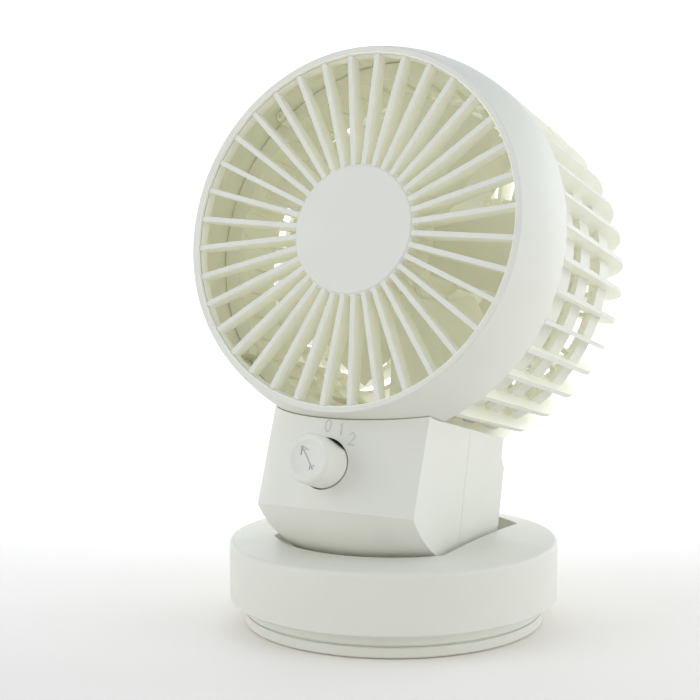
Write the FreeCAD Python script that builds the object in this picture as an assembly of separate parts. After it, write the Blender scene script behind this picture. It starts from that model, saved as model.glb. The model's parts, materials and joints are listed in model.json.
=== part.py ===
import FreeCAD, Part
import math
import os

from FreeCAD import Placement, Rotation, Vector

# Small desk fan. Millimetres, +Z up, front towards -Y, origin on the table under the base's centre.
# The base is a fixed foot and a turntable. The neck leans on a spherical cradle in the turntable
# and carries the drum, its guards, two motors and two impellers.

# ---- driving dimensions ----
BASE_R = 63.0             # turntable housing
BASE_BOTTOM_Z = 9.5
BASE_SHOULDER_Z = 30.6
LIP_Z = 34.2              # top of the housing round the recess
HOUSING_WALL = 2.0
FOOT_R = 57.4
GROOVE_R = 56.4
GROOVE_Z = (4.4, 4.95)
FOOT_TOP_Z = 9.2

PIVOT_Z = 82.4            # centre of the cradle's sphere, on the swing axis
TILT_BACK = 13.96         # degrees of back tilt in the rest pose
CRADLE_R = 66.9           # sphere of the dish in the housing
NECK_BALL_R = 65.0        # sphere of the neck's underside
RECESS_HALF = 36.1
RECESS_REAR_R = 51.0
RECESS_REAR_FLOOR_Z = 25.0
TUB_WALL = 1.8

NECK_HALF = 32.4          # flat sides
NECK_R = 48.85            # plan radius of the front's lower edge and of the rear
NECK_TOP_FRONT_R = 46.0   # the front leans back to this radius
NECK_EDGE_Z = -43.2       # lower edge of the walls, from the pivot
NECK_FRONT_TOP_Z = -5.2
NECK_WALL = 2.2
SEAM_Y = 2.5

HEAD_AXIS_Z = 58.8        # drum axis above the pivot
RING_Y = -50.1            # front plane of the drum, from the pivot
RING_R = 67.55
DRUM_REAR_R = 72.4
DRUM_LENGTH = 29.7
DRUM_WALL = 1.8
CAGE_LENGTH = 123.5       # front plane of the drum to the rear hub's face
CAGE_REAR_R = 71.0
CAGE_CORNER = 36.0        # radius that rounds the cage's rear
CAGE_FIN_DEPTH = 9.5
CAGE_FIN = 1.8            # thickness
CAGE_BAND_END = 53.0      # solid band behind the drum
HOOP_R = (64.0, 66.0)
HOOPS_Z = ((60.5, 70.0), (81.0, 90.5))
FACE_RINGS = (38.0, 51.0)
HUB_R = 24.35
REAR_CUP_Z = 103.3        # front of the rear motor's cup
FRONT_FIN = 1.9
RING_LIP = 2.6            # width of the drum's front lip
HUB_RECESS = 3.1
FRONT_FINS = 36
FRONT_FIN_PHASE = 2.5
REAR_FINS = 38
REAR_FIN_PHASE = 7.3
BLADE_TIP_R = 58.5

KNOB_Z = -26.4            # knob centre, from the pivot
KNOB_R = 9.0
KNOB_HOLE_R = 9.4
KNOB_LENGTH = 12.0
POINTER_TURN = -36.0      # the pointer's angle from the top, clockwise positive

GEAR_MODULE = 0.8
SECTOR_TEETH = 90
PINION_TEETH = 16
FIT = 0.05                # radial running clearance of shafts and posts
CLEAR = 0.3               # gap between parts that pass each other

HEAD = Placement(Vector(0, 0, PIVOT_Z), Rotation(Vector(1, 0, 0), -TILT_BACK))
DRUM = HEAD.multiply(Placement(Vector(0, RING_Y, HEAD_AXIS_Z), Rotation(Vector(1, 0, 0), -90)))
FACE_LEAN = math.degrees(math.atan((NECK_R - NECK_TOP_FRONT_R) / (NECK_FRONT_TOP_Z - NECK_EDGE_Z)))
FACE_R_AT_KNOB = NECK_R - (KNOB_Z - NECK_EDGE_Z) * math.tan(math.radians(FACE_LEAN))
# the knob's own frame: +Z out of the neck's front face, +Y up the face
KNOB = HEAD.multiply(Placement(Vector(0, -FACE_R_AT_KNOB, KNOB_Z),
                               Rotation(Vector(1, 0, 0), 90 - FACE_LEAN)))


# ---- helpers ----
def save(name, shape, where=None):
    """Write one sub-part, moved from its own frame into the fan's."""
    shape = shape.copy()
    if where is not None:
        shape.Placement = where.multiply(shape.Placement)
    print("%-22s solids %3d valid %s volume %9.1f" % (name, len(shape.Solids), shape.isValid(), shape.Volume))
    shape.exportStep("parts/%s.step" % name)


def cylinder(radius, z0, z1, x=0.0, y=0.0):
    return Part.makeCylinder(radius, z1 - z0, Vector(x, y, z0))


def tube(outer, inner, z0, z1, x=0.0, y=0.0):
    return cylinder(outer, z0, z1, x, y).cut(cylinder(inner, z0 - 1, z1 + 1, x, y))


def block(x0, x1, y0, y1, z0, z1):
    return Part.makeBox(x1 - x0, y1 - y0, z1 - z0, Vector(x0, y0, z0))


def ball(radius, z=0.0):
    return Part.makeSphere(radius, Vector(0, 0, z))


def turned(points, bulges=None):
    """A solid of revolution about Z from (radius, z) points.

    bulges maps the index of a side to the point that its arc passes through.
    """
    bulges = bulges or {}
    edges = []
    for i, (r, z) in enumerate(points):
        r2, z2 = points[(i + 1) % len(points)]
        start, end = Vector(r, 0, z), Vector(r2, 0, z2)
        if i in bulges:
            mid = Vector(bulges[i][0], 0, bulges[i][1])
            edges.append(Part.Arc(start, mid, end).toShape())
        else:
            edges.append(Part.makeLine(start, end))
    face = Part.Face(Part.Wire(edges))
    return face.revolve(Vector(0, 0, 0), Vector(0, 0, 1), 360)


def around(shape, angles):
    """Copies of a shape turned about Z, as one group."""
    return [shape.rotated(Vector(0, 0, 0), Vector(0, 0, 1), a) for a in angles]


def fuse(shapes):
    shapes = list(shapes)
    whole = shapes[0].multiFuse(shapes[1:]) if len(shapes) > 1 else shapes[0]
    return whole.removeSplitter()


def group(shapes):
    return Part.makeCompound(list(shapes))


def screw(head_r, head_h, shank_r, length, x=0.0, y=0.0, z=0.0):
    """Pan-head screw with a cross recess, head on top at z, shank downwards."""
    head = cylinder(head_r, z - head_h, z, x, y)
    head = head.makeFillet(head_h * 0.4, [e for e in head.Edges if e.BoundBox.ZMin > z - 0.01])
    slot = head_r * 0.6
    recess = block(x - slot, x + slot, y - 0.25, y + 0.25, z - head_h * 0.6, z + 1)
    recess = recess.fuse(block(x - 0.25, x + 0.25, y - slot, y + slot, z - head_h * 0.6, z + 1))
    shank = cylinder(shank_r, z - head_h - length, z - head_h, x, y)
    return head.cut(recess).fuse(shank)


def flipped(shape, z):
    """Turn a part upside down about the height z."""
    return shape.rotated(Vector(0, 0, z), Vector(1, 0, 0), 180)


def gear_face(teeth, backlash, first, count, hub_r):
    """Involute gear outline; a sector when count is below the number of teeth."""
    pitch_r = GEAR_MODULE * teeth / 2
    pressure = math.radians(20)
    base_r = pitch_r * math.cos(pressure)
    tip_r = pitch_r + GEAR_MODULE * 0.95
    root_r = pitch_r - GEAR_MODULE * 1.25

    def half_angle(radius):
        tilt = math.acos(min(1.0, base_r / radius))
        inv = math.tan(tilt) - tilt
        inv_pitch = math.tan(pressure) - pressure
        return math.pi / (2 * teeth) - backlash / (2 * pitch_r) + inv_pitch - inv

    points = []
    steps = 4
    low_r = max(base_r, root_r)
    for k in range(first, first + count):
        centre = 2 * math.pi * k / teeth
        flank = [low_r + (tip_r - low_r) * i / steps for i in range(steps + 1)]
        points.append((root_r, centre - half_angle(low_r)))
        points += [(r, centre - half_angle(r)) for r in flank if r > root_r]
        points += [(r, centre + half_angle(r)) for r in reversed(flank) if r > root_r]
        points.append((root_r, centre + half_angle(low_r)))
    if count < teeth:
        start, end = points[0][1] - 0.01, points[-1][1] + 0.01
        arc = [start + (end - start) * i / 24 for i in range(25)]
        points = [(root_r, start)] + points + [(root_r, end)] + [(hub_r, a) for a in reversed(arc)]
    outline = [Vector(r * math.cos(a), r * math.sin(a), 0) for r, a in points]
    return Part.Face(Part.makePolygon(outline + outline[:1]))


# ---- foot ----
PAN_FLOOR_Z = (1.2, 2.4)
FOOT_SCREWS = [(40.0 * math.cos(math.radians(a)), 40.0 * math.sin(math.radians(a))) for a in (60, 180, 300)]
POST_R = 9.5
POST_BORE_R = 7.0
POST_TOP_Z = 13.2
FLOOR_Z = (9.5, 11.7)
PLATE_Z = (5.2, 6.8)
WELL_R = 50.0


def anti_slip_pad():
    return cylinder(54.0, 0, PAN_FLOOR_Z[0])


def foot_pan():
    groove_low, groove_high = GROOVE_Z
    profile = [(0, PAN_FLOOR_Z[0]), (54.2, PAN_FLOOR_Z[0]), (54.2, 0.4), (56.8, 0.4), (FOOT_R, 1.0),
               (FOOT_R, groove_low - 0.3), (FOOT_R - 0.3, groove_low), (GROOVE_R, groove_low),
               (GROOVE_R, groove_high), (53.4, groove_high), (53.4, PAN_FLOOR_Z[1]), (0, PAN_FLOOR_Z[1])]
    pan = turned(profile)
    for x, y in FOOT_SCREWS:
        pan = pan.fuse(cylinder(3.9, PAN_FLOOR_Z[1] - 0.2, 3.6, x, y))
        pan = pan.cut(cylinder(1.3, 0, 4, x, y)).cut(cylinder(3.1, 0, 2.4, x, y))
    return pan.removeSplitter()


def foot_rim():
    low = GROOVE_Z[1]
    profile = [(POST_BORE_R, PLATE_Z[0]), (53.0, PLATE_Z[0]), (53.0, low + 0.05), (FOOT_R - 0.3, low + 0.05),
               (FOOT_R, low + 0.35), (FOOT_R, FOOT_TOP_Z - 0.5), (FOOT_R - 0.5, FOOT_TOP_Z),
               (WELL_R, FOOT_TOP_Z), (WELL_R, PLATE_Z[1]), (POST_BORE_R, PLATE_Z[1])]
    rim = turned(profile)
    for x, y in FOOT_SCREWS:
        rim = rim.cut(cylinder(1.2, 4, 6.4, x, y))
    return rim.cut(block(-6.2, 6.2, 40, 54.5, 4, 8.4)).cut(block(-4.2, 4.2, 54, 60, 5.5, 8.5))


def ballast_plate():
    plate = cylinder(50.0, PAN_FLOOR_Z[1] + 0.05, GROOVE_Z[1])
    for x, y in FOOT_SCREWS:
        plate = plate.cut(cylinder(4.0, 2, 6, x, y))
    return plate.cut(cylinder(5.0, 2, 6))


def foot_screws():
    return group(flipped(screw(2.8, 1.1, 1.15, 3.9, x, -y, 1.25), 1.25) for x, y in FOOT_SCREWS)


def pivot_post():
    post = tube(POST_R, POST_BORE_R + 0.5, PLATE_Z[1], POST_TOP_Z)
    flange = tube(15.0, POST_BORE_R + 0.5, PLATE_Z[1], PLATE_Z[1] + 1.6)
    groove = tube(POST_R + 1, POST_R - 0.9, FLOOR_Z[1] + 0.15, FLOOR_Z[1] + 0.95)
    return fuse([post, flange]).cut(groove)


def pivot_clip():
    low = FLOOR_Z[1] + 0.17
    ring = tube(POST_R + 2.6, POST_R - 0.85, low, low + 0.76)
    return ring.cut(block(-3.5, 3.5, 0, 20, low - 1, low + 2))


def glide_ring():
    return tube(26.0, 20.0, PLATE_Z[1], FLOOR_Z[0] - 0.1)


def swing_sector():
    teeth = 32
    face = gear_face(SECTOR_TEETH, 0.12, -teeth // 2, teeth + 1, 28.5)
    return face.extrude(Vector(0, 0, 2.2)).translated(Vector(0, 0, PLATE_Z[1]))


def inlet_board():
    return block(-6.0, 6.0, 42.0, 54.3, GROOVE_Z[1] + 0.1, GROOVE_Z[1] + 0.7)


def power_inlet():
    low = GROOVE_Z[1] + 0.75
    shell = block(-3.9, 3.9, 50.0, 57.1, low, low + 2.6)
    edges = [e for e in shell.Edges if abs(e.tangentAt(e.FirstParameter).y) > 0.9]
    shell = shell.makeFillet(0.6, edges)
    mouth = block(-3.5, 3.5, 51.0, 58.0, low + 0.4, low + 2.2)
    tongue = block(-2.2, 2.2, 50.5, 56.4, low + 1.0, low + 1.5)
    return shell.cut(mouth).fuse(tongue)


# ---- turntable ----
BOSS_PLACES = [(54.6 * math.cos(math.radians(a)), 54.6 * math.sin(math.radians(a)))
               for a in (48, 132, 228, 312)]
MOTOR_SHAFT_X = GEAR_MODULE * (SECTOR_TEETH + PINION_TEETH) / 2
MOTOR_X = 48.6
MOTOR_R = 9.8
MOTOR_EARS = (-11.8, 11.8)
BUTTON_Z = 17.0
BUTTON_R = 3.6


def recess_outline(grow):
    """Plan of the recess: straight sides, front arc on the cradle sphere, wider rear arc."""
    side = block(-RECESS_HALF - grow, RECESS_HALF + grow, -80, 80, 0, 60)
    dish = ball(CRADLE_R + grow, PIVOT_Z).common(side)
    rear = cylinder(RECESS_REAR_R + grow, RECESS_REAR_FLOOR_Z - grow, 60)
    rear = rear.common(block(-RECESS_HALF - grow, RECESS_HALF + grow, 0, 80, 0, 60))
    return dish.fuse(rear)


def base_housing():
    wall = HOUSING_WALL
    corner = (BASE_R - 0.55, BASE_SHOULDER_Z + 1.25)
    outer = turned([(0, BASE_BOTTOM_Z), (BASE_R - 0.6, BASE_BOTTOM_Z), (BASE_R, BASE_BOTTOM_Z + 0.6),
                    (BASE_R, BASE_SHOULDER_Z), (BASE_R - 1.8, BASE_SHOULDER_Z + 1.7), (46.5, LIP_Z),
                    (0, LIP_Z + 2.5)],
                   {3: corner, 4: (54.5, 33.4)})
    hollow = turned([(0, 5), (BASE_R - wall, 5), (BASE_R - wall, BASE_SHOULDER_Z - 0.8),
                     (BASE_R - wall - 1, BASE_SHOULDER_Z), (46.5, LIP_Z - wall), (0, LIP_Z - wall + 2.5)])
    bosses = fuse([cylinder(3.2, FLOOR_Z[1], 32.0, x, y) for x, y in BOSS_PLACES])
    body = outer.cut(hollow.cut(recess_outline(TUB_WALL)).cut(bosses))
    body = body.cut(recess_outline(0.0))
    for x, y in BOSS_PLACES:
        body = body.cut(cylinder(1.1, 5, 24, x, y))
    body = body.cut(cylinder(2.15, 5, 30))
    body = body.cut(Part.makeCylinder(BUTTON_R + 0.15, 20, Vector(0, 50, BUTTON_Z), Vector(0, 1, 0)))
    return body.removeSplitter()


def base_floor():
    floor = cylinder(BASE_R - HOUSING_WALL - 0.1, *FLOOR_Z)
    floor = floor.cut(cylinder(POST_R + FIT, 0, 20))
    floor = floor.cut(cylinder(2.0, 0, 20, MOTOR_SHAFT_X))
    for y in MOTOR_EARS:
        floor = floor.cut(cylinder(1.0, 0, 20, MOTOR_X, y))
    for x, y in BOSS_PLACES:
        floor = floor.cut(cylinder(1.5, 0, 20, x, y)).cut(cylinder(2.9, 0, FLOOR_Z[0] + 1.3, x, y))
    return floor


def floor_screws():
    low = FLOOR_Z[0] + 0.05
    return group(flipped(screw(2.6, 1.2, 1.1, 9.0, x, -y, low), low) for x, y in BOSS_PLACES)


def swing_motor():
    can = cylinder(MOTOR_R, 12.9, 28.5, MOTOR_X)
    can = can.makeFillet(0.8, [e for e in can.Edges if e.BoundBox.ZMin > 28.4])
    plate = block(MOTOR_X - 3, MOTOR_X + 3, -13.8, 13.8, FLOOR_Z[1], 12.9)
    plate = plate.fuse(cylinder(MOTOR_R, FLOOR_Z[1], 12.9, MOTOR_X))
    motor = can.fuse(plate)
    for y in MOTOR_EARS:
        motor = motor.cut(cylinder(1.1, 5, 20, MOTOR_X, y))
    return motor.cut(cylinder(1.5 + FIT, 0, 24, MOTOR_SHAFT_X)).removeSplitter()


def swing_motor_screws():
    return group(screw(1.9, 1.0, 0.95, 3.2, MOTOR_X, y, 13.95) for y in MOTOR_EARS)


def swing_pinion():
    face = gear_face(PINION_TEETH, 0.12, 0, PINION_TEETH, 0)
    wheel = face.extrude(Vector(0, 0, 2.0)).rotated(Vector(0, 0, 0), Vector(0, 0, 1), 180 / PINION_TEETH)
    wheel = wheel.translated(Vector(MOTOR_SHAFT_X, 0, PLATE_Z[1] + 0.3))
    return wheel.cut(cylinder(1.5, 0, 20, MOTOR_SHAFT_X))


def swing_shaft():
    return cylinder(1.5, PLATE_Z[1] + 0.3, 23.5, MOTOR_SHAFT_X)


def swing_switch():
    body = block(-4.0, 4.0, 44.5, 53.5, 12.5, 21.5)
    return body.cut(Part.makeCylinder(1.6, 20, Vector(0, 48, BUTTON_Z), Vector(0, 1, 0)))


def swing_button():
    """Cap, collar inside the wall and stem into the switch, along +Y."""
    def rod(radius, y0, y1):
        return Part.makeCylinder(radius, y1 - y0, Vector(0, y0, BUTTON_Z), Vector(0, 1, 0))
    cap = rod(BUTTON_R, 58.6, 64.6)
    cap = cap.makeFillet(0.7, [e for e in cap.Edges if e.BoundBox.YMin > 64.5])
    return fuse([cap, rod(4.6, 58.0, 60.2), rod(1.5, 50.2, 58.1)])


def tilt_pads():
    """Two friction pads that fill the gap between the dish and the neck's ball."""
    gap = ball(CRADLE_R, PIVOT_Z).cut(ball(NECK_BALL_R + CLEAR, PIVOT_Z))
    pads = [gap.common(block(x - 4, x + 4, -20, 20, 0, 40)) for x in (-17.0, 17.0)]
    return group(pads)


def tilt_stud():
    under = PIVOT_Z - CRADLE_R - TUB_WALL
    head = cylinder(3.4, under - 1.5, under - 0.1)
    return fuse([head, cylinder(2.0, under - 0.2, 32.0)])


def tilt_shoe():
    """Curved washer inside the neck that the stud pulls down."""
    inner = NECK_BALL_R - NECK_WALL - CLEAR
    gap = ball(inner, PIVOT_Z).cut(ball(inner - 2.0, PIVOT_Z))
    shoe = gap.common(block(-11, 11, -7, 7, 0, 40))
    return shoe.cut(cylinder(2.1, 0, 60))


def tilt_spring():
    """Three disc springs, each a shallow cone, stacked tip to tip."""
    low = PIVOT_Z - NECK_BALL_R + NECK_WALL + CLEAR + 2.3
    discs = []
    for i in range(3):
        z = low + 1.7 * i
        rise = 0.9
        if i % 2 == 0:
            ring = turned([(2.3, z + rise), (5.5, z), (5.5, z + 0.75), (2.3, z + rise + 0.75)])
        else:
            ring = turned([(2.3, z), (5.5, z + rise), (5.5, z + rise + 0.75), (2.3, z + 0.75)])
        discs.append(ring)
    return group(discs)


def tilt_nut():
    low = 27.6
    corners = [Vector(4.0 * math.cos(math.radians(60 * i)), 4.0 * math.sin(math.radians(60 * i)), low)
               for i in range(7)]
    nut = Part.Face(Part.makePolygon(corners)).extrude(Vector(0, 0, 3.2))
    return nut.cut(cylinder(2.0, 0, 60))


# ---- neck, in the head's frame: origin at the pivot ----
NECK_SCREWS = [(x, z) for x in (-21.0, 21.0) for z in (-19.0, -37.0)]


def drum_profile(grow):
    """Outer line of the drum and, behind it, the clearance cylinder of the cage."""
    return [(0, -2), (RING_R - 2 + grow, -2), (RING_R + grow, 0), (DRUM_REAR_R + grow, DRUM_LENGTH),
            (DRUM_REAR_R + grow, 112), (0, 112)]


def drum_space(grow):
    """Room that the neck leaves for the drum and the cage, in the head's frame."""
    solid = turned(drum_profile(grow), {2: (RING_R + 3.2 + grow, 10.5)})
    solid.Placement = Placement(Vector(0, RING_Y, HEAD_AXIS_Z), Rotation(Vector(1, 0, 0), -90))
    return solid


def neck_solid(inset):
    """The neck's outer form, moved inwards by inset: two arcs, two flats and a ball below."""
    r = NECK_R - inset
    low, top = -70.0, 10.0
    slope = (NECK_R - NECK_TOP_FRONT_R) / (NECK_FRONT_TOP_Z - NECK_EDGE_Z)
    front = turned([(0, low), (r + slope * (NECK_EDGE_Z - low), low), (r - slope * (top - NECK_EDGE_Z), top),
                    (0, top)])
    rear = turned([(0, low), (r, low), (r, -17.5), (r - 2.5, -14.0), (r - 2.5, top), (0, top)])
    plan = front.common(block(-60, 60, -80, 0, low, top)).fuse(rear.common(block(-60, 60, 0, 80, low, top)))
    half = NECK_HALF - inset
    plan = plan.common(block(-half, half, -80, 80, low, top))
    return plan.common(ball(NECK_BALL_R - inset)).cut(drum_space(0.25 + inset))


def rod_y(radius, y0, y1, x, z):
    return Part.makeCylinder(radius, y1 - y0, Vector(x, y0, z), Vector(0, 1, 0))


def neck_shell():
    outer = neck_solid(0.0)
    shell = outer.cut(neck_solid(NECK_WALL))
    bosses = fuse([rod_y(3.3, -60, 60, x, z) for x, z in NECK_SCREWS]).common(outer)
    shell = shell.fuse(bosses)
    slot = block(-3.0, 3.0, -14.5, 19.0, -70, -55)
    return shell.cut(slot)


def neck_front(shell):
    half = shell.common(block(-60, 60, -80, SEAM_Y - 0.05, -80, 40))
    for x, z in NECK_SCREWS:
        half = half.cut(rod_y(1.0, -32, 10, x, z))
    hole = Part.makeCylinder(KNOB_HOLE_R, 12, Vector(0, 0, -8))
    hole.Placement = HEAD.inverse().multiply(KNOB).multiply(hole.Placement)
    half = half.cut(hole)
    for x in NECK_BOSSES:
        half = half.cut(cylinder(1.5, -25, 10, x, RING_Y + 15))
    return half.removeSplitter()


def neck_rear(shell):
    half = shell.common(block(-60, 60, SEAM_Y + 0.05, 80, -80, 40))
    for x, z in NECK_SCREWS:
        half = half.cut(rod_y(1.35, -10, 60, x, z)).cut(rod_y(2.7, 40.3, 60, x, z))
    return half.removeSplitter()


def neck_screws():
    """Heads sink into the rear shell and the shanks run forward into the front shell."""
    one = screw(2.5, 1.6, 1.0, 58.0)
    parts = []
    for x, z in NECK_SCREWS:
        spot = one.copy()
        spot.Placement = Placement(Vector(x, 42.0, z), Rotation(Vector(1, 0, 0), -90))
        parts.append(spot)
    return group(parts)


def control_board():
    board = block(-17, 17, -20.6, -19.0, -44, -17.5)
    chips = [block(-14, -9, -19.05, -17.0, -42, -37), block(6, 14, -19.05, -17.2, -42, -36)]
    return fuse([board] + chips)


# ---- speed switch and knob, in the knob's frame: +Z out of the face ----
def speed_switch():
    body = block(-8, 8, -8, 8, -25.8, -19.0)
    bush = cylinder(3.6, -19.1, -12.0)
    return body.fuse(bush).cut(cylinder(2.5 + FIT, -23.0, 0)).removeSplitter()


def switch_spindle():
    return cylinder(2.5, -22.9, 4.0)


def speed_knob():
    """Cap with a dished face, one flat on its side and an engraved pointer."""
    top = KNOB_LENGTH
    knob = turned([(0, -5.0), (KNOB_R, -5.0), (KNOB_R, top - 1.4), (KNOB_R - 1.4, top), (KNOB_R - 2.6, top),
                   (0, top - 0.7)],
                  {2: (KNOB_R - 0.41, top - 0.41), 4: (KNOB_R * 0.4, top - 0.6)})
    flat = block(-12, 12, KNOB_R - 0.9, 12, -9, top - 3.2)
    turn = -(29.0 - POINTER_TURN)
    flat = flat.rotated(Vector(0, 0, 0), Vector(0, 0, 1), turn)
    shaft = block(-0.28, 0.28, -4.9, 4.9, top - 1.15, top + 1)
    wings = [block(-0.28, 0.28, 0, 3.0, top - 1.15, top + 1).rotated(Vector(0, 0, 0), Vector(0, 0, 1), a)
             for a in (145, -145)]
    tail = [block(-0.25, 0.25, 0, 2.0, top - 1.1, top + 1).rotated(Vector(0, 0, 0), Vector(0, 0, 1), a)
            for a in (145, -145)]
    pointer = [shaft] + [w.translated(Vector(0, 4.8, 0)) for w in wings]
    pointer += [t.translated(Vector(0, -2.6, 0)) for t in tail]
    knob = knob.cut(flat).cut(fuse(pointer)).cut(cylinder(2.5, -9, 4.05))
    knob = knob.cut(tube(KNOB_R - 1.5, 4.2, -9, 4.0))
    return knob.rotated(Vector(0, 0, 0), Vector(0, 0, 1), -POINTER_TURN)


# ---- head parts, in the drum's frame: +Z runs rearwards from the front ring, -Y is up ----
REAR_PITCH = 360 / REAR_FINS
DRUM_LUGS = [REAR_FIN_PHASE + REAR_PITCH * (k + 0.5) for k in (4, 13, 23, 32)]
LUG_R = 68.0
LUG_Z = (20.8, 27.4)
CAP_SCREW_R = 20.4
CAP_SCREW_TURNS = (30, 150, 270)
NECK_BOSSES = (-18.0, 18.0)
DRUM_SCREW_HEAD = 74.0    # head's top, below the drum's axis


def fan_angle(clockwise_from_top):
    """Turn about the drum's axis that takes +X to this clock angle, seen from the front."""
    return clockwise_from_top - 90


def drum():
    wall = DRUM_WALL
    inner_rear = DRUM_REAR_R - wall
    lip = RING_R - RING_LIP
    profile = [(lip, 0.35), (lip + 0.35, 0), (RING_R - 0.4, 0), (RING_R, 0.5),
               (DRUM_REAR_R, DRUM_LENGTH - 0.4), (DRUM_REAR_R - 0.4, DRUM_LENGTH), (inner_rear, DRUM_LENGTH),
               (RING_R - 1.75, 6.0), (RING_R - 1.75, 1.6), (lip, 1.6)]
    shell = turned(profile, {3: (RING_R + 3.2, 10.8), 6: (RING_R + 1.7, 14.0)})
    lug = cylinder(2.6, *LUG_Z, LUG_R).fuse(block(LUG_R, 71.2, -2.0, 2.0, *LUG_Z))
    body = fuse([shell] + around(lug, [fan_angle(a) for a in DRUM_LUGS]))
    for hole in around(cylinder(1.0, 17.0, 40.0, LUG_R), [fan_angle(a) for a in DRUM_LUGS]):
        body = body.cut(hole)
    for x in NECK_BOSSES:
        body = body.cut(Part.makeCylinder(1.0, 12, Vector(x, 60, 15), Vector(0, 1, 0)))
    return body.removeSplitter()


def drum_screws():
    """Two screws from inside the neck up into the drum's wall."""
    parts = []
    for x in NECK_BOSSES:
        one = screw(2.4, 1.3, 1.0, 5.2)
        one.Placement = Placement(Vector(x, DRUM_SCREW_HEAD, 15), Rotation(Vector(1, 0, 0), -90))
        parts.append(one)
    return group(parts)


def fin(profile, thickness):
    """A radial plate from (radius, z) points, along +X."""
    points = [Vector(r, -thickness / 2, z) for r, z in profile]
    return Part.Face(Part.makePolygon(points + points[:1])).extrude(Vector(0, thickness, 0))


def front_guard():
    """Hub, fins with round roots, and a ring behind the drum's lip."""
    ring = tube(RING_R - 1.85, RING_R - 3.0, 1.7, 5.8)
    disc = turned([(0, HUB_RECESS), (HUB_R - 0.8, HUB_RECESS), (HUB_R, HUB_RECESS + 0.8), (HUB_R, 20.5),
                   (HUB_R - 1.8, 20.5), (HUB_R - 1.8, HUB_RECESS + 2.4), (0, HUB_RECESS + 2.4)])
    seat = tube(18.4, 16.4, HUB_RECESS + 2.0, 19.0)
    tip = RING_R - RING_LIP - 0.1
    outline = [(HUB_R - 0.6, HUB_RECESS + 0.3), (tip, 0.9), (tip, 1.75), (RING_R - 2.4, 1.75),
               (RING_R - 2.4, 5.75), (HUB_R - 0.6, 12.5)]
    pitch = 360 / FRONT_FINS
    turns = [fan_angle(FRONT_FIN_PHASE + pitch * k) for k in range(FRONT_FINS)]
    collar = tube(HUB_R + 1.1, HUB_R - 0.5, HUB_RECESS + 0.6, 11.5)
    root_r = math.radians(pitch) * (HUB_R + 1.2) / 2 - FRONT_FIN / 2
    for root in around(cylinder(root_r, 0, 14, HUB_R + 1.2), [turn + pitch / 2 for turn in turns]):
        collar = collar.cut(root)
    guard = fuse([ring, disc, seat, collar] + around(fin(outline, FRONT_FIN), turns))
    for hole in around(cylinder(0.8, 12, 30, CAP_SCREW_R), CAP_SCREW_TURNS):
        guard = guard.cut(hole)
    return guard


def motor_cap(z0, z1):
    """Flat cover over a motor cup, with a hole for the motor's nose and three screw holes."""
    cap = cylinder(HUB_R - 1.9, z0, z1).cut(cylinder(5.2, z0 - 1, z1 + 1))
    for hole in around(cylinder(0.95, z0 - 1, z1 + 1, CAP_SCREW_R), CAP_SCREW_TURNS):
        cap = cap.cut(hole)
    return cap


def front_motor():
    can = cylinder(16.3, HUB_RECESS + 2.5, 20.3)
    can = can.makeFillet(0.8, [e for e in can.Edges if e.BoundBox.ZMin > 20.2])
    return can.fuse(cylinder(5.0, 20.2, 23.0)).cut(cylinder(1.0 + FIT, 10, 30))


def front_shaft():
    return cylinder(1.0, 10.2, 39.0)


def cap_screws(z, flip):
    one = screw(1.7, 0.9, 0.75, 4.5, CAP_SCREW_R, 0, z)
    if flip:
        one = flipped(one, z)
    return group(around(one, CAP_SCREW_TURNS))


def impeller(z_front, z_back, hub_front, hub_back, blades, twist, bore_end):
    """Axial impeller; the blades are lofted through four sections that twist towards the tip."""
    hub_r = 13.5
    hub = cylinder(hub_r, hub_front, hub_back)
    hub = hub.makeFillet(1.5, [e for e in hub.Edges if abs(e.BoundBox.ZMin - bore_end) < 0.01])
    middle = (z_front + z_back) / 2
    height = (z_back - z_front) / 2 - 0.5
    sections = []
    for i in range(4):
        radius = hub_r - 1.5 + (BLADE_TIP_R + 2 - hub_r + 1.5) * i / 3
        lean = math.radians(46 - 20 * i / 3)
        chord = height / math.sin(lean) * (0.86 if i == 0 else 1.0)
        chord = min(chord, 17.0 + 4.0 * i)
        along = Vector(0, math.cos(lean) * twist, math.sin(lean))
        across = Vector(0, -math.sin(lean) * twist, math.cos(lean))
        thick = 1.5 - 0.15 * i
        centre = Vector(radius, 0, middle)
        camber = across * (0.10 * chord)
        nose, tail = centre - along * chord, centre + along * chord
        upper = Part.Arc(nose + across * thick / 2, centre + camber + across * thick / 2,
                         tail + across * thick / 2).toShape()
        lower = Part.Arc(tail - across * thick / 2, centre + camber - across * thick / 2,
                         nose - across * thick / 2).toShape()
        ends = [Part.makeLine(tail + across * thick / 2, tail - across * thick / 2),
                Part.makeLine(nose - across * thick / 2, nose + across * thick / 2)]
        sections.append(Part.Wire([upper, ends[0], lower, ends[1]]))
    blade = Part.makeLoft(sections, True, False)
    blade = blade.common(cylinder(BLADE_TIP_R, z_front, z_back))
    wheel = fuse([hub] + around(blade, [360 / blades * k for k in range(blades)]))
    return wheel


def front_impeller():
    return impeller(27.0, 47.0, 26.0, 42.0, 5, 1, 42.0).cut(cylinder(1.0, 20, 39.05))


def rear_impeller():
    return impeller(66.0, 87.0, 72.0, 96.0, 5, -1, 72.0).cut(cylinder(1.0, 74.95, 100))


def cage_back(radius, depth=0.0):
    """Z of the cage's rounded rear at this radius, on a line this far under its surface."""
    across = radius - CAGE_REAR_R + CAGE_CORNER
    return CAGE_LENGTH - CAGE_CORNER + math.sqrt((CAGE_CORNER - depth) ** 2 - across ** 2)


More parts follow.
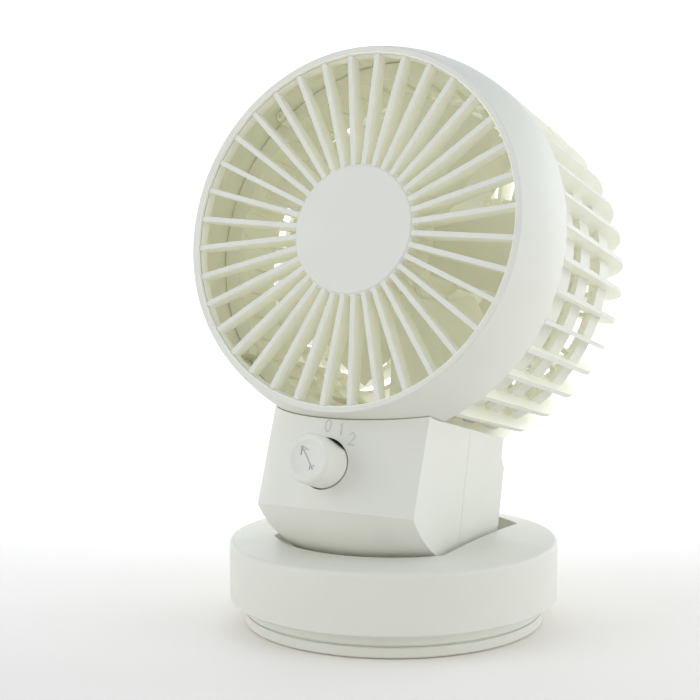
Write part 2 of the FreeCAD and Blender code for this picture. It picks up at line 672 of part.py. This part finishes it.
def cage_corner(depth):
    """Points of the rounded rear from the side to the back, this far under the cage's surface."""
    radius = CAGE_CORNER - depth
    centre_r, centre_z = CAGE_REAR_R - CAGE_CORNER, CAGE_LENGTH - CAGE_CORNER
    steps = 10
    turns = [math.radians(90 * i / steps) for i in range(steps + 1)]
    return [(centre_r + radius * math.cos(a), centre_z + radius * math.sin(a)) for a in turns]


def rear_guard():
    back = CAGE_LENGTH
    base = turned([(HOOP_R[0], DRUM_LENGTH - 2.2), (DRUM_REAR_R - DRUM_WALL - 0.15, DRUM_LENGTH - 2.2),
                   (DRUM_REAR_R - DRUM_WALL - 0.15, DRUM_LENGTH + 0.05),
                   (DRUM_REAR_R - 0.9, DRUM_LENGTH + 0.05), (DRUM_REAR_R - 0.9, DRUM_LENGTH + 1.6),
                   (HOOP_R[1], DRUM_LENGTH + 1.6),
                   (HOOP_R[1], CAGE_BAND_END), (HOOP_R[0], CAGE_BAND_END)])
    hoops = [tube(HOOP_R[1], HOOP_R[0], z0, z1) for z0, z1 in HOOPS_Z]
    face_rings = [tube(r + 1.6, r - 1.6, cage_back(r) - 6.5, cage_back(r) - 3.0) for r in FACE_RINGS]
    cup = turned([(0, back - 2.4), (HUB_R - 1.8, back - 2.4), (HUB_R - 1.8, REAR_CUP_Z), (HUB_R, REAR_CUP_Z),
                  (HUB_R, back - 1.2), (HUB_R - 1.2, back), (0, back)])
    seat = tube(18.4, 16.4, REAR_CUP_Z + 1.5, back - 2.0)
    outline = [(DRUM_REAR_R - 0.2, DRUM_LENGTH + 0.4)] + cage_corner(0)
    outline += [(HUB_R - 0.6, back), (HUB_R - 0.6, back - CAGE_FIN_DEPTH)] + cage_corner(CAGE_FIN_DEPTH)[::-1]
    outline += [(CAGE_REAR_R - CAGE_FIN_DEPTH + 1.5, DRUM_LENGTH + 0.4)]
    turns = [fan_angle(REAR_FIN_PHASE + REAR_PITCH * k) for k in range(REAR_FINS)]
    fins = around(fin(outline, CAGE_FIN), turns)
    guard = fuse([base, cup, seat] + hoops + face_rings + fins)
    for hole in around(cylinder(0.85, 20, 30.6, LUG_R), [fan_angle(a) for a in DRUM_LUGS]):
        guard = guard.cut(hole)
    for hole in around(cylinder(0.8, REAR_CUP_Z - 1, REAR_CUP_Z + 10, CAP_SCREW_R), CAP_SCREW_TURNS):
        guard = guard.cut(hole)
    return guard


def guard_screws():
    """Four screws through the drum's lugs into the cage's flange, heads inside the drum."""
    z = LUG_Z[0] - 1.1
    one = flipped(screw(1.9, 1.1, 0.85, 9.5, LUG_R, 0, z), z)
    return group(around(one, [fan_angle(a) for a in DRUM_LUGS]))


def rear_motor():
    front = REAR_CUP_Z + 0.4
    can = cylinder(16.3, front, CAGE_LENGTH - 2.5)
    can = can.makeFillet(0.8, [e for e in can.Edges if e.BoundBox.ZMax < front + 0.1])
    nose = cylinder(5.0, front - 2.7, front + 0.1)
    return can.fuse(nose).cut(cylinder(1.0 + FIT, front - 10, front + 10))


def rear_shaft():
    return cylinder(1.0, 75.0, REAR_CUP_Z + 10)


def main():
    os.makedirs("parts", exist_ok=True)
    for make in (anti_slip_pad, foot_pan, foot_rim, ballast_plate, foot_screws, pivot_post, pivot_clip,
                 glide_ring, swing_sector, inlet_board, power_inlet, base_housing, base_floor,
                 floor_screws, swing_motor, swing_motor_screws, swing_pinion, swing_shaft, swing_switch,
                 swing_button, tilt_pads, tilt_stud, tilt_shoe, tilt_spring, tilt_nut):
        save(make.__name__, make())
    shell = neck_shell()
    save("neck_front", neck_front(shell), HEAD)
    save("neck_rear", neck_rear(shell), HEAD)
    save("neck_screws", neck_screws(), HEAD)
    save("control_board", control_board(), HEAD)
    for make in (speed_switch, switch_spindle, speed_knob):
        save(make.__name__, make(), KNOB)
    for make in (drum, drum_screws, front_guard, front_motor, front_shaft, front_impeller,
                 rear_guard, guard_screws, rear_motor, rear_shaft, rear_impeller):
        save(make.__name__, make(), DRUM)
    save("front_motor_cap", motor_cap(20.5, 22.0), DRUM)
    save("rear_motor_cap", motor_cap(REAR_CUP_Z - 1.3, REAR_CUP_Z - 0.1), DRUM)
    save("front_cap_screws", cap_screws(22.95, False), DRUM)
    save("rear_cap_screws", cap_screws(REAR_CUP_Z - 2.25, True), DRUM)


main()
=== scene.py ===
import json
import math

import bmesh
import bpy
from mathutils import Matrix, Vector


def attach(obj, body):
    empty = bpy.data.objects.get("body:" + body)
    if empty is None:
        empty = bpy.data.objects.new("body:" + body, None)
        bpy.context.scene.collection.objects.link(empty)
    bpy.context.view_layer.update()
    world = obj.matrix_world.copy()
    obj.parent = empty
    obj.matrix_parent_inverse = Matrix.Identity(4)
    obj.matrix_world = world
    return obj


# Looks of a small white desk fan. Metres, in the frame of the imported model: +Z up, front towards -Y.

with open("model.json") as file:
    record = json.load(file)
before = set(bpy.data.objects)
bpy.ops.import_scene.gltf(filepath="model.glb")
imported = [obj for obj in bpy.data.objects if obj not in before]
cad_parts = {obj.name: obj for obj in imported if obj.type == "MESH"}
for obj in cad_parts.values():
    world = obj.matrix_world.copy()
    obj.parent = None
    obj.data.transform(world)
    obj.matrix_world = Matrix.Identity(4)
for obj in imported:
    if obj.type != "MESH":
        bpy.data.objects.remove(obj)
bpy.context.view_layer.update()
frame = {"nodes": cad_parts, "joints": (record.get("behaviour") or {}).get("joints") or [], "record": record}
nodes = frame["nodes"]
joints = {joint["name"]: joint for joint in frame["joints"]}

MM = 0.001

# ---- colours, as linear red, green and blue ----
SHELL = (0.745, 0.740, 0.665)
# the inner white: the shell's white made brighter and warmer, painted light of warm bounces inside the head
INNER_BOUNCE_GLOW = (0.950, 0.945, 0.845)
BLADE = (0.930, 0.925, 0.825)
PRINT = (0.560, 0.560, 0.510)
FLOOR = (0.975, 0.925, 0.875)
RUBBER = (0.090, 0.090, 0.092)
STEEL = (0.58, 0.58, 0.57)
ZINC = (0.66, 0.67, 0.65)
BRASS = (0.70, 0.52, 0.24)
ACETAL = (0.74, 0.73, 0.68)
GEAR = (0.035, 0.035, 0.038)
BOARD = (0.014, 0.085, 0.035)
COPPER = (0.030, 0.160, 0.060)
SWITCH = (0.022, 0.022, 0.025)


# ---- node helpers ----
def new_material(name, colour, roughness):
    """A material with its Principled shader, and the object's own coordinates for patterns."""
    material = bpy.data.materials.new(name)
    material.use_nodes = True
    tree = material.node_tree
    shader = tree.nodes["Principled BSDF"]
    shader.inputs["Base Color"].default_value = (*colour, 1.0)
    shader.inputs["Roughness"].default_value = roughness
    place = tree.nodes.new("ShaderNodeTexCoord").outputs["Object"]
    return material, tree, shader, place


def noise(tree, place, size, detail=2.0):
    """Smooth noise with features about size metres across."""
    made = tree.nodes.new("ShaderNodeTexNoise")
    made.inputs["Scale"].default_value = 1.0 / size
    made.inputs["Detail"].default_value = detail
    tree.links.new(place, made.inputs["Vector"])
    return made.outputs["Fac"]


def spread(tree, value, low, high, start=0.3, end=0.7):
    """Stretch a pattern's value from start..end to low..high."""
    made = tree.nodes.new("ShaderNodeMapRange")
    for name, number in (("From Min", start), ("From Max", end), ("To Min", low), ("To Max", high)):
        made.inputs[name].default_value = number
    tree.links.new(value, made.inputs["Value"])
    return made.outputs["Result"]


def mix(tree, factor, first, second):
    """Colour between first and second."""
    made = tree.nodes.new("ShaderNodeMix")
    made.data_type = "RGBA"
    for socket, colour in zip([s for s in made.inputs if s.type == "RGBA"], (first, second)):
        socket.default_value = (*colour, 1.0)
    tree.links.new(factor, made.inputs["Factor"])
    return [s for s in made.outputs if s.type == "RGBA"][0]


def bump(tree, height, depth, normal=None):
    """Relief of that depth in metres."""
    made = tree.nodes.new("ShaderNodeBump")
    made.inputs["Strength"].default_value = 1.0
    made.inputs["Distance"].default_value = depth
    tree.links.new(height, made.inputs["Height"])
    if normal is not None:
        tree.links.new(normal, made.inputs["Normal"])
    return made.outputs["Normal"]


def softened(tree, radius):
    """Normal of edges broken by a small radius, as a mould leaves them."""
    made = tree.nodes.new("ShaderNodeBevel")
    made.samples = 4
    made.inputs["Radius"].default_value = radius
    return made.outputs["Normal"]


def shaded(colour, share):
    return tuple(channel * share for channel in colour)


# ---- materials ----
CLOUD_SIZE = 28 * MM        # faint colour clouding of moulded plastic
CLOUD_SHARES = (0.985, 1.012)
SHEEN_SIZE = 9 * MM         # patches of a little more or less gloss
SHEEN_SWING = 0.05
SKIN_SIZE = 0.45 * MM       # spark-eroded skin of the mould
SKIN_DEPTH = 0.012 * MM
PLASTIC_IOR = 1.5
GRAIN_SIZE = 0.5 * MM       # streaks of turned metal
GRAIN_DEPTH = 0.01 * MM
TRACKS_PER_METRE = 260.0
TRACK_RISE = 0.03 * MM


def moulded(name, colour, roughness, edge):
    """Injection-moulded plastic: faint flow clouding, spark-eroded skin, softened edges."""
    material, tree, shader, place = new_material(name, colour, roughness)
    clouds = noise(tree, place, CLOUD_SIZE, 3.0)
    dull, bright = (shaded(colour, share) for share in CLOUD_SHARES)
    tint = mix(tree, spread(tree, clouds, 0.0, 1.0), dull, bright)
    tree.links.new(tint, shader.inputs["Base Color"])
    sheen = noise(tree, place, SHEEN_SIZE, 4.0)
    gloss = spread(tree, sheen, roughness - SHEEN_SWING, roughness + SHEEN_SWING)
    tree.links.new(gloss, shader.inputs["Roughness"])
    skin = noise(tree, place, SKIN_SIZE, 3.0)
    relief = bump(tree, skin, SKIN_DEPTH, softened(tree, edge))
    tree.links.new(relief, shader.inputs["Normal"])
    shader.inputs["IOR"].default_value = PLASTIC_IOR
    return material


def metal(name, colour, roughness, streak):
    """Turned or plated metal with fine streaks along X."""
    material, tree, shader, place = new_material(name, colour, roughness)
    shader.inputs["Metallic"].default_value = 1.0
    stretch = tree.nodes.new("ShaderNodeMapping")
    stretch.inputs["Scale"].default_value = (streak, 1.0, 1.0)
    tree.links.new(place, stretch.inputs["Vector"])
    grain = noise(tree, stretch.outputs["Vector"], GRAIN_SIZE, 3.0)
    tint = mix(tree, spread(tree, grain, 0.0, 1.0), shaded(colour, 0.88), colour)
    tree.links.new(tint, shader.inputs["Base Color"])
    tree.links.new(spread(tree, grain, roughness - 0.07, roughness + 0.09), shader.inputs["Roughness"])
    tree.links.new(bump(tree, grain, GRAIN_DEPTH), shader.inputs["Normal"])
    return material


def matt(name, colour, roughness, size, depth):
    """Dull pebbled plastic or rubber."""
    material, tree, shader, place = new_material(name, colour, roughness)
    pebbles = noise(tree, place, size, 4.0)
    tint = mix(tree, spread(tree, pebbles, 0.0, 1.0), shaded(colour, 0.85), shaded(colour, 1.15))
    tree.links.new(tint, shader.inputs["Base Color"])
    tree.links.new(spread(tree, pebbles, roughness + 0.05, roughness - 0.05), shader.inputs["Roughness"])
    tree.links.new(bump(tree, pebbles, depth), shader.inputs["Normal"])
    return material


def circuit(name):
    """Green solder mask with faint tracks under it."""
    material, tree, shader, place = new_material(name, BOARD, 0.35)
    cells = tree.nodes.new("ShaderNodeTexBrick")
    cells.inputs["Scale"].default_value = TRACKS_PER_METRE
    cells.inputs["Mortar Size"].default_value = 0.06
    tree.links.new(place, cells.inputs["Vector"])
    tint = mix(tree, cells.outputs["Fac"], BOARD, COPPER)
    tree.links.new(tint, shader.inputs["Base Color"])
    tree.links.new(bump(tree, cells.outputs["Fac"], TRACK_RISE), shader.inputs["Normal"])
    return material


MATERIALS = {
    "shell_white": moulded("shell_white", SHELL, 0.46, 0.25 * MM),
    # painted warm bounce light: a brighter, warmer copy of the shell white for the faces inside the head
    "inner_white": moulded("inner_white", INNER_BOUNCE_GLOW, 0.42, 0.15 * MM),
    "impeller_white": moulded("impeller_white", BLADE, 0.34, 0.15 * MM),
    "scale_print": matt("scale_print", PRINT, 0.55, 0.3 * MM, 0.01 * MM),
    "pad_rubber": matt("pad_rubber", RUBBER, 0.75, 0.5 * MM, 0.06 * MM),
    "steel": metal("steel", STEEL, 0.32, 0.05),
    "zinc": metal("zinc", ZINC, 0.42, 0.6),
    "brass": metal("brass", BRASS, 0.30, 0.05),
    "acetal": matt("acetal", ACETAL, 0.38, 0.8 * MM, 0.01 * MM),
    "gear_plastic": matt("gear_plastic", GEAR, 0.45, 0.6 * MM, 0.02 * MM),
    "board_green": circuit("board_green"),
    "switch_black": matt("switch_black", SWITCH, 0.50, 0.6 * MM, 0.02 * MM),
}
# nodes that take the inner white, painted warm bounce light; the screws take it too
BOUNCE_GLOW_NODES = ("front_guard", "rear_guard", "guard_screws")
# how squarely a face looks inwards, outwards, forwards or back to swap between the shell white and the inner
# white, whose extra warmth and brightness are painted bounce light
LEANING = 0.3
SQUARE_ON = 0.5


def dress_nodes():
    """Give each CAD node the finish of its material slot, and the guards and their screws the inner white, a
    brighter, warmer copy of the shell white that paints warm bounce light.
    """
    for part in frame["record"]["subparts"]:
        name = part["node"]
        finish = "inner_white" if name in BOUNCE_GLOW_NODES else part["material_slot"]
        nodes[name].data.materials.clear()
        nodes[name].data.materials.append(MATERIALS[finish])


def painted_glow_by_facing(name, finish, chosen):
    """A second copy of the white plastic on the faces that chosen picks by how far they face outwards and to
    the front; the inner white of the pair is painted warm bounce light.
    """
    origin = Vector(joints["front_spin"]["pos_m"])
    rear = Vector(joints["front_spin"]["axis"]).normalized()
    mesh = nodes[name].data
    mesh.materials.append(MATERIALS[finish])
    for face in mesh.polygons:
        away = face.center - origin
        radial = (away - rear * away.dot(rear)).normalized()
        if chosen(face.normal.dot(radial), -face.normal.dot(rear)):
            face.material_index = 1


def paint_head_bounce_glow():
    """Painted warm bounce light: the drum's inward faces take the inner white of its guards, whose outer
    edges keep the drum's shell white.
    """
    painted_glow_by_facing("drum", "inner_white", lambda outwards, forwards: outwards < -LEANING)
    painted_glow_by_facing("front_guard", "shell_white", lambda outwards, forwards: forwards > SQUARE_ON)
    painted_glow_by_facing("rear_guard", "shell_white",
                  lambda outwards, forwards: outwards > LEANING or forwards < -SQUARE_ON)


# ---- camera, floor and lights ----
VIEW_AZIMUTH, VIEW_ELEVATION = math.radians(28.29), math.radians(5.87)
VIEW_DISTANCE = 0.600
VIEW_TARGET = Vector((0.0, 0.0, 0.100))
SENSOR, LENS = 36.0, 80.8    # millimetres
SHIFT = (-0.0624, 0.0156)
CLIP = (0.01, 50.0)

FLOOR_FLAT = 2.2             # radius of the level part
FLOOR_RISE = 1.2             # height and width of the curve round it
FLOOR_STEPS = 10
FLOOR_TURNS = 64
FLOOR_CLOUDS = 0.4

LIGHT_TINT = (0.935, 1.0, 1.065)
# name, azimuth and elevation in degrees, distance, size, watts
SOFTBOXES = (
    ("light_left", -40.0, 20.0, 1.3, 0.9, 4.9),
    ("light_right", 92.0, 15.0, 1.3, 0.9, 4.6),
    ("light_top", 20.0, 80.0, 1.5, 1.2, 1.9),
    ("light_rear", 215.0, 16.0, 1.2, 0.9, 1.6),
    ("light_rear_right", 150.0, 12.0, 1.2, 0.8, 2.6),
)
# the backdrop's light hangs behind the fan and looks away from it: distance and height of its place and aim
BACKDROP_FROM, BACKDROP_TO = (0.9, 1.5), (2.9, 0.2)
BACKDROP_SIZE, BACKDROP_WATTS = 1.4, 55.0
SKY = 0.55
MAX_BOUNCES, DIFFUSE_BOUNCES = 16, 12    # light gets between the fins by many bounces


def direction(azimuth, elevation):
    """Unit vector from the fan towards a point at that azimuth from the front and that height."""
    return Vector((math.sin(azimuth) * math.cos(elevation), -math.cos(azimuth) * math.cos(elevation),
                   math.sin(elevation)))


def make_camera():
    data = bpy.data.cameras.new("view")
    data.sensor_width = SENSOR
    data.lens = LENS
    data.shift_x, data.shift_y = SHIFT
    data.clip_start, data.clip_end = CLIP
    camera = bpy.data.objects.new("view", data)
    back = direction(VIEW_AZIMUTH, VIEW_ELEVATION)
    camera.location = VIEW_TARGET + back * VIEW_DISTANCE
    camera.rotation_mode = "QUATERNION"
    camera.rotation_quaternion = back.to_track_quat("Z", "Y")
    bpy.context.scene.collection.objects.link(camera)
    bpy.context.scene.camera = camera


def make_floor():
    """A pale floor that curves up to a low wall all round."""
    climbs = [math.pi / 2 * i / FLOOR_STEPS for i in range(FLOOR_STEPS + 1)]
    outline = [(FLOOR_FLAT + FLOOR_RISE * math.sin(a), FLOOR_RISE * (1 - math.cos(a))) for a in climbs]
    around = [2 * math.pi * k / FLOOR_TURNS for k in range(FLOOR_TURNS)]
    mesh = bpy.data.meshes.new("floor")
    made = bmesh.new()
    middle = made.verts.new((0, 0, 0))
    rings = [[made.verts.new((r * math.cos(a), r * math.sin(a), z)) for a in around] for r, z in outline]
    for k in range(FLOOR_TURNS):
        after = (k + 1) % FLOOR_TURNS
        made.faces.new((middle, rings[0][k], rings[0][after]))
        for inner, outer in zip(rings, rings[1:]):
            made.faces.new((inner[k], outer[k], outer[after], inner[after]))
    made.to_mesh(mesh)
    made.free()
    for face in mesh.polygons:
        face.use_smooth = True
    floor = bpy.data.objects.new("floor", mesh)
    material, tree, shader, place = new_material("floor_paint", FLOOR, 0.8)
    clouds = spread(tree, noise(tree, place, FLOOR_CLOUDS), 0.0, 1.0)
    tint = mix(tree, clouds, shaded(FLOOR, 0.995), FLOOR)
    tree.links.new(tint, shader.inputs["Base Color"])
    mesh.materials.append(material)
    bpy.context.scene.collection.objects.link(floor)


def softbox(name, place, target, size, power):
    """A square soft light at place, aimed at target."""
    data = bpy.data.lights.new(name, "AREA")
    data.shape = "SQUARE"
    data.size = size
    data.energy = power
    data.color = LIGHT_TINT
    light = bpy.data.objects.new(name, data)
    light.location = place
    light.rotation_mode = "QUATERNION"
    light.rotation_quaternion = (place - target).to_track_quat("Z", "Y")
    light.visible_camera = False
    bpy.context.scene.collection.objects.link(light)


def make_lights():
    """Softboxes round the fan, one on the backdrop, and an even sky."""
    for name, azimuth, elevation, distance, size, power in SOFTBOXES:
        away = direction(math.radians(azimuth), math.radians(elevation))
        softbox(name, VIEW_TARGET + away * distance, VIEW_TARGET, size, power)
    behind = direction(VIEW_AZIMUTH + math.pi, 0.0)
    place, aim = (behind * away + Vector((0, 0, height)) for away, height in (BACKDROP_FROM, BACKDROP_TO))
    softbox("light_backdrop", place, aim, BACKDROP_SIZE, BACKDROP_WATTS)
    world = bpy.data.worlds.new("sky")
    world.use_nodes = True
    back = world.node_tree.nodes["Background"]
    back.inputs["Color"].default_value = (*LIGHT_TINT, 1.0)
    back.inputs["Strength"].default_value = SKY
    scene = bpy.context.scene
    scene.world = world
    scene.view_settings.view_transform = "Standard"
    scene.cycles.max_bounces = MAX_BOUNCES
    scene.cycles.diffuse_bounces = DIFFUSE_BOUNCES


# ---- scale digits on the neck's face ----
DIGIT_HEIGHT = 4.7 * MM
DIGIT_WIDTH = 2.7 * MM
STROKE = 0.42 * MM
STROKE_RISE = 0.10 * MM
STROKE_SUNK = 0.06 * MM
SCALE_R = 13.6 * MM
SCALE_TURNS = {"0": -2.0, "1": 21.5, "2": 45.0}


def arc(cx, cy, rx, ry, start, end, steps):
    """Points of an elliptic arc, in degrees from +x, counter-clockwise."""
    turns = [math.radians(start + (end - start) * i / steps) for i in range(steps + 1)]
    return [(cx + rx * math.cos(a), cy + ry * math.sin(a)) for a in turns]


def digit_strokes(digit):
    """Centre lines of a digit in a box one unit wide and tall, about its middle."""
    if digit == "0":
        return [arc(0, 0, 0.5, 0.5, 90, 450, 28)]
    if digit == "1":
        return [[(-0.22, 0.30), (0.08, 0.5), (0.08, -0.5)]]
    hook = arc(0, 0.20, 0.46, 0.30, 165, -20, 16)
    return [hook + [(-0.46, -0.5), (0.5, -0.5)]]


def neck_face():
    """Maps (across, up the face, out) from the knob's centre to a point of the neck's face in the frame."""
    pivot = Vector(joints["tilt"]["pos_m"])
    centre = Vector(joints["speed_turn"]["pos_m"])
    out = -Vector(joints["speed_turn"]["axis"]).normalized()
    rear = Vector(joints["front_spin"]["axis"]).normalized()
    side = Vector((1, 0, 0))
    up = side.cross(rear)
    lean = math.asin(out.dot(up))
    low = (centre - pivot).dot(up)
    radius = -(centre - pivot).dot(rear)

    def place(x, y, rise):
        height = low + y * math.cos(lean)
        r = radius - y * math.sin(lean) + rise
        turn = x / radius
        return pivot + up * height + side * (r * math.sin(turn)) - rear * (r * math.cos(turn))
    return place


def ribbon(mesh, line, width, rise, sunk, place):
    """Low rounded bead along a line of (x, y) points, closed if its ends meet."""
    closed = math.dist(line[0], line[-1]) < width / 10
    points = line[:-1] if closed else line
    section = [(-0.5, -sunk), (-0.5, rise * 0.45), (-0.28, rise),
               (0.28, rise), (0.5, rise * 0.45), (0.5, -sunk)]
    rows = []
    for i, (x, y) in enumerate(points):
        before = points[i - 1] if closed or i > 0 else points[i]
        after = points[(i + 1) % len(points)] if closed or i < len(points) - 1 else points[i]
        ahead = Vector((after[0] - x, after[1] - y))
        behind = Vector((x - before[0], y - before[1]))
        ahead = ahead.normalized() if ahead.length else behind.normalized()
        behind = behind.normalized() if behind.length else ahead
        along = (ahead + behind).normalized()
        across = Vector((-along.y, along.x)) / max(0.5, along.dot(ahead))
        rows.append([mesh.verts.new(place(x + across.x * s * width, y + across.y * s * width, h))
                     for s, h in section])
    pairs = list(zip(rows, rows[1:])) + ([(rows[-1], rows[0])] if closed else [])
    count = len(section)
    for first, second in pairs:
        for k in range(count):
            mesh.faces.new((first[k], second[k], second[(k + 1) % count], first[(k + 1) % count]))
    if not closed:
        mesh.faces.new(rows[0])
        mesh.faces.new(reversed(rows[-1]))


def make_digits():
    """The knob's scale: three low moulded digits."""
    place = neck_face()
    for digit, turn in SCALE_TURNS.items():
        x0 = SCALE_R * math.sin(math.radians(turn))
        y0 = SCALE_R * math.cos(math.radians(turn))
        made = bmesh.new()
        for stroke in digit_strokes(digit):
            line = [(x0 + x * (DIGIT_WIDTH - STROKE), y0 + y * (DIGIT_HEIGHT - STROKE)) for x, y in stroke]
            ribbon(made, line, STROKE, STROKE_RISE, STROKE_SUNK, place)
        bmesh.ops.recalc_face_normals(made, faces=made.faces)
        mesh = bpy.data.meshes.new("scale_digit_" + digit)
        made.to_mesh(mesh)
        made.free()
        for face in mesh.polygons:
            face.use_smooth = True
        mesh.materials.append(MATERIALS["scale_print"])
        piece = bpy.data.objects.new("scale_digit_" + digit, mesh)
        bpy.context.scene.collection.objects.link(piece)
        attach(piece, "head")


dress_nodes()
paint_head_bounce_glow()
make_camera()
make_floor()
make_lights()
make_digits()
